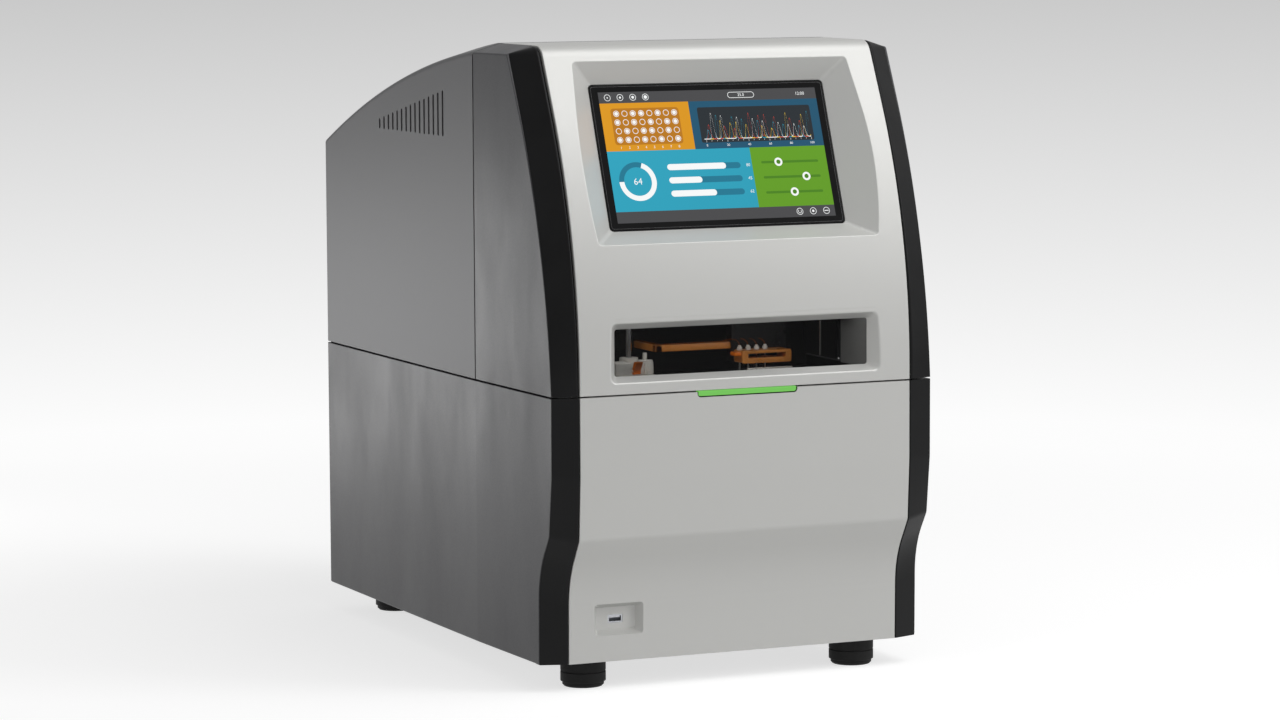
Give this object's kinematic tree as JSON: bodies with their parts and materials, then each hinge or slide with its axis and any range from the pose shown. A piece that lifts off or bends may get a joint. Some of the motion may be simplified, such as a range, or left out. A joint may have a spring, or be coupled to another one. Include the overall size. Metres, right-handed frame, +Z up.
{
  "type": "benchtop sequencer",
  "caption": "Benchtop capillary sequencer with a lift-up touchscreen door over the sample compartment, a viewing window, vented rear cover and rubber feet.",
  "frame": {"origin": "on the bench, under the middle of the casing", "axes": "+Z up, -Y out of the front, +X to the right seen from the front"},
  "size_m": [0.4, 0.6, 0.6],
  "materials": {
    "silver_paint": "satin metallic silver with fine speckle",
    "grey_paint": "satin dark grey with fine texture",
    "black_trim": "satin black moulding",
    "grey_sheet": "powder coated grey sheet",
    "black_sheet": "powder coated black sheet",
    "inner_metal": "brushed aluminium and plated sheet",
    "inner_grey": "fine textured mid grey moulding",
    "bright_steel": "ground steel",
    "black_steel": "gloss black enamel",
    "socket_metal": "plated socket shell",
    "black_plastic": "fine textured black moulding",
    "foot_rubber": "matt black rubber",
    "white_plastic": "satin off-white moulding",
    "clear_plastic": "translucent moulding",
    "amber": "amber engineering plastic",
    "orange_plastic": "orange moulding",
    "board_green": "coated circuit board",
    "smoked_glass": "smoked clear pane",
    "black_glass": "black bordered touch glass",
    "green_light": "lit green diffuser"
  },
  "bodies": {
    "chassis": {"base_pan": "inner_metal", "lower_side_panel_left": "grey_paint", "lower_side_panel_right": "grey_paint", "lower_corner_strip_left": "black_trim", "lower_corner_strip_right": "black_trim", "lower_front_panel": "silver_paint", "status_light_bar": "green_light", "front_usb_socket": "socket_metal", "upper_rear_cover": "grey_paint", "rear_panel": "grey_sheet", "feet": "foot_rubber", "rear_fan_frame": "black_plastic", "rear_fan_guard": "bright_steel", "mains_inlet": "black_plastic", "network_sockets": "black_plastic", "compartment_bulkhead": "black_sheet", "deck_plate": "black_sheet", "sampler_frame": "inner_metal", "sampler_rails": "bright_steel", "door_hinge_brackets": "inner_metal", "door_hinge_pins": "bright_steel", "strut_studs": "bright_steel", "oven_body": "black_plastic", "oven_cover": "inner_grey", "capillary_header": "amber", "capillary_tips": "bright_steel", "detection_unit": "black_plastic", "pump_block": "white_plastic", "polymer_cartridge": "white_plastic", "anode_buffer_container": "clear_plastic", "power_supply": "inner_metal", "laser_module": "inner_metal", "control_board": "board_green"},
    "door": {"door_front_shell": "silver_paint", "door_side_panel_left": "grey_paint", "door_side_panel_right": "grey_paint", "door_corner_strip_left": "black_trim", "door_corner_strip_right": "black_trim", "door_inner_liner": "black_plastic", "window_pane": "smoked_glass", "touch_glass": "black_glass", "display_module": "black_plastic", "door_hinge_arms": "inner_metal", "strut_door_brackets": "inner_metal"},
    "strut_cylinder_right": {"strut_cylinder_right": "black_steel"},
    "strut_cylinder_left": {"strut_cylinder_left": "black_steel"},
    "strut_rod_right": {"strut_rod_right": "bright_steel"},
    "strut_rod_left": {"strut_rod_left": "bright_steel"},
    "cross_stage": {"sampler_cross_stage": "inner_metal"},
    "fore_stage": {"sampler_fore_stage": "inner_metal"},
    "lift_stage": {"sampler_lift": "inner_metal", "sample_tray": "inner_grey", "sample_strips": "white_plastic", "cathode_buffer_container": "white_plastic"},
    "fan_rotor": {"fan_rotor": "black_plastic"},
    "power_rocker": {"power_rocker": "black_plastic"},
    "valve_knob": {"valve_knob": "white_plastic"},
    "pump_plunger": {"pump_plunger": "bright_steel"},
    "lock_lever": {"lock_lever": "orange_plastic"}
  },
  "joints": [
    {"name": "door_hinge", "type": "hinge", "parent": "chassis", "child": "door", "pos_m": [0, -0.094, 0.586], "axis": [-1, 0, 0], "range_deg": [0, 65]},
    {"name": "strut_tilt_right", "type": "hinge", "parent": "chassis", "child": "strut_cylinder_right", "pos_m": [0.179, -0.0815, 0.5171], "axis": [-1, 0, 0], "range_deg": [0, 54.17]},
    {"name": "strut_stroke_right", "type": "slide", "parent": "strut_cylinder_right", "child": "strut_rod_right", "axis": [0, -0.9728, -0.2314], "range_m": [0, 0.06906]},
    {"name": "strut_tilt_left", "type": "hinge", "parent": "chassis", "child": "strut_cylinder_left", "pos_m": [-0.179, -0.0815, 0.5171], "axis": [-1, 0, 0], "range_deg": [0, 54.17]},
    {"name": "strut_stroke_left", "type": "slide", "parent": "strut_cylinder_left", "child": "strut_rod_left", "axis": [0, -0.9728, -0.2314], "range_m": [0, 0.06906]},
    {"name": "cross_slide", "type": "slide", "parent": "chassis", "child": "cross_stage", "axis": [1, 0, 0], "range_m": [-0.036, 0.036]},
    {"name": "fore_slide", "type": "slide", "parent": "cross_stage", "child": "fore_stage", "axis": [0, 1, 0], "range_m": [-0.01, 0.054]},
    {"name": "tray_lift", "type": "slide", "parent": "fore_stage", "child": "lift_stage", "axis": [0, 0, 1], "range_m": [-0.02, 0.008]},
    {"name": "fan_spin", "type": "hinge", "parent": "chassis", "child": "fan_rotor", "pos_m": [0.07, 0.28, 0.4], "axis": [0, 1, 0], "continuous": true},
    {"name": "power_switch", "type": "hinge", "parent": "chassis", "child": "power_rocker", "pos_m": [0.13, 0.2935, 0.103], "axis": [1, 0, 0], "range_deg": [-14, 0]},
    {"name": "valve_turn", "type": "hinge", "parent": "chassis", "child": "valve_knob", "pos_m": [-0.048, -0.172, 0.29], "axis": [0, 0, 1], "range_deg": [0, 90]},
    {"name": "plunger_stroke", "type": "slide", "parent": "chassis", "child": "pump_plunger", "axis": [0, 0, 1], "range_m": [-0.008, 0]},
    {"name": "lock_lever_swing", "type": "hinge", "parent": "chassis", "child": "lock_lever", "pos_m": [-0.06, -0.18, 0.2876], "axis": [1, 0, 0], "range_deg": [0, 35]}
  ],
  "couplings": [
    {"joint": "strut_tilt_right", "follows": "door_hinge", "ratio": 0.83332},
    {"joint": "strut_stroke_right", "follows": "door_hinge", "m_per_rad": 0.060875},
    {"joint": "strut_tilt_left", "follows": "door_hinge", "ratio": 0.83332},
    {"joint": "strut_stroke_left", "follows": "door_hinge", "m_per_rad": 0.060875}
  ]
}
